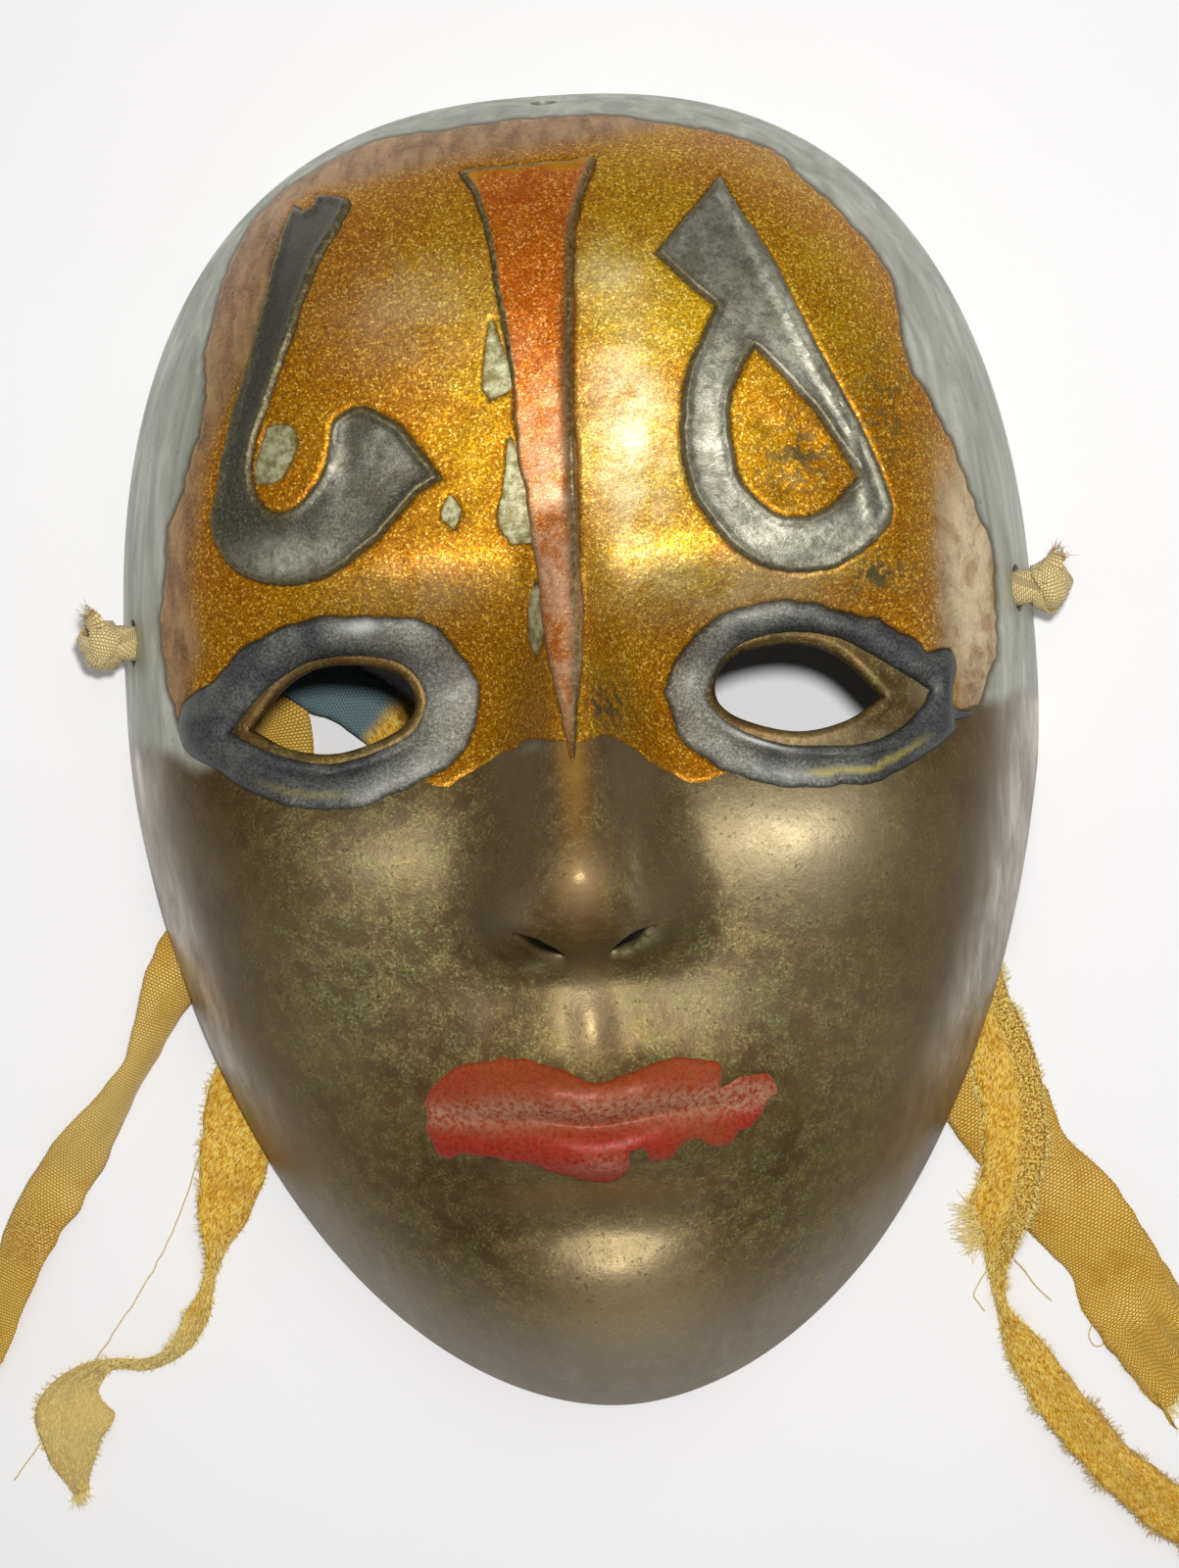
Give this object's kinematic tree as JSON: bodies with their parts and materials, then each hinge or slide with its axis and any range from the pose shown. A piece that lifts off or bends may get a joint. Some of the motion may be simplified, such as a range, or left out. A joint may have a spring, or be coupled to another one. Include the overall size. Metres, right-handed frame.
{
  "type": "venetian masquerade mask",
  "caption": "Full-face masquerade mask of thin sheet metal with a painted forehead, raised eye rims, painted lips and ribbon tails knotted through a hole at each temple.",
  "frame": {"origin": "under the middle of the mask's box, on the plane of the rim on which the mask lies", "axes": "+Z out of the face, +Y from the chin to the forehead, +X to the right of someone who looks at the face"},
  "size_m": [0.2126, 0.2334, 0.0724],
  "materials": {
    "aged_brass": "satin",
    "gold_paint": "satin",
    "copper_paint": "satin",
    "grey_enamel": "satin",
    "slate_enamel": "satin",
    "red_enamel": "satin",
    "gold_ribbon": "matte"
  },
  "bodies": {
    "root": {"mask_shell": "aged_brass", "forehead_gold_paint": "gold_paint", "forehead_copper_stripe": "copper_paint", "hook_motif": "grey_enamel", "loop_motif": "grey_enamel", "left_eye_rim": "slate_enamel", "right_eye_rim": "slate_enamel", "lip_paint": "red_enamel", "left_knot": "gold_ribbon", "right_knot": "gold_ribbon", "left_long_ribbon": "gold_ribbon", "left_short_ribbon": "gold_ribbon", "right_pile_ribbon": "gold_ribbon", "right_satin_ribbon": "gold_ribbon"}
  },
  "joints": []
}
